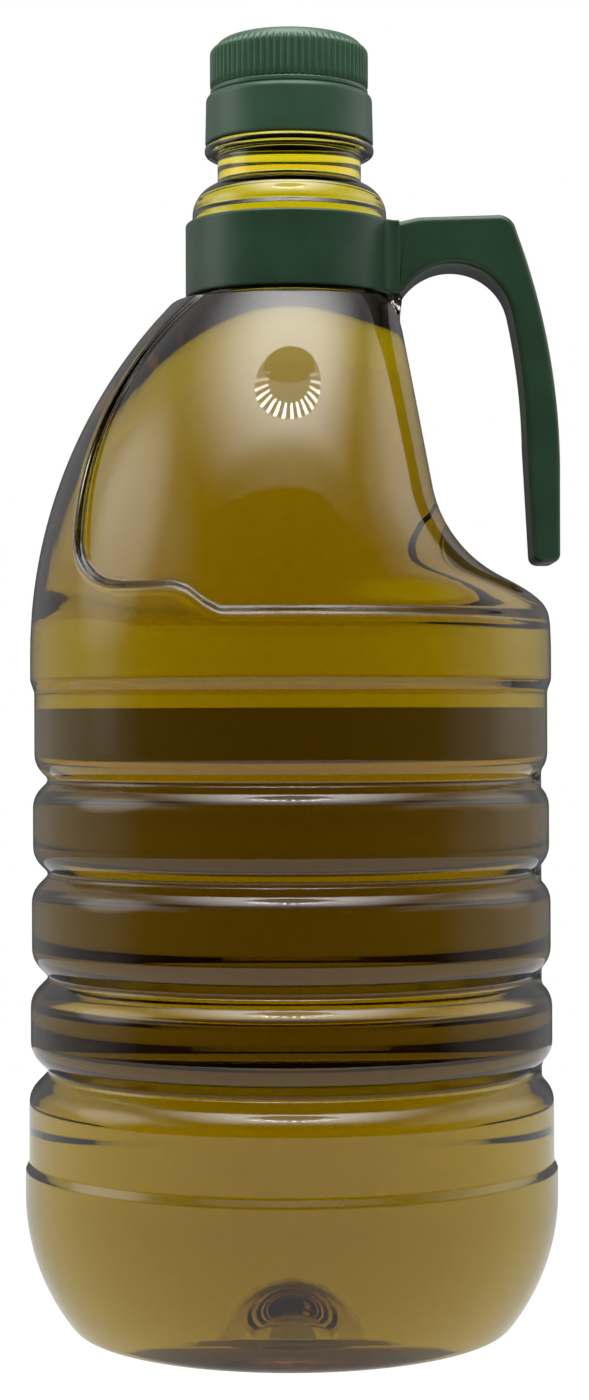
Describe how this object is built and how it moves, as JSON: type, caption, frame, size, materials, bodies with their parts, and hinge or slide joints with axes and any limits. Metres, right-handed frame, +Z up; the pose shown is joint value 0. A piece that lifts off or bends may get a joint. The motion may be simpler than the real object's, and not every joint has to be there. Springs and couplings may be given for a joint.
{
  "type": "olive oil jug",
  "caption": "Clear ribbed bottle of olive oil with a green screw cap, a smooth band and a green clip-on handle with a free lower end",
  "frame": {"origin": "centre of the box round the jug, on the plane of the foot ring; it lies within 0.3 mm of the bottle's axis", "axes": "+Z up along the bottle, +X towards the handle, Y across the handle"},
  "size_m": [0.1203, 0.1198, 0.2904],
  "materials": {
    "clear_plastic": "clear, glossy, slightly smoky at the edges",
    "oil": "clear golden green liquid",
    "green_cap": "satin moulded",
    "green_handle": "satin moulded"
  },
  "bodies": {
    "root": {"bottle": "clear_plastic", "oil": "oil", "band": "green_cap", "cap": "green_cap", "handle": "green_handle"}
  },
  "joints": []
}
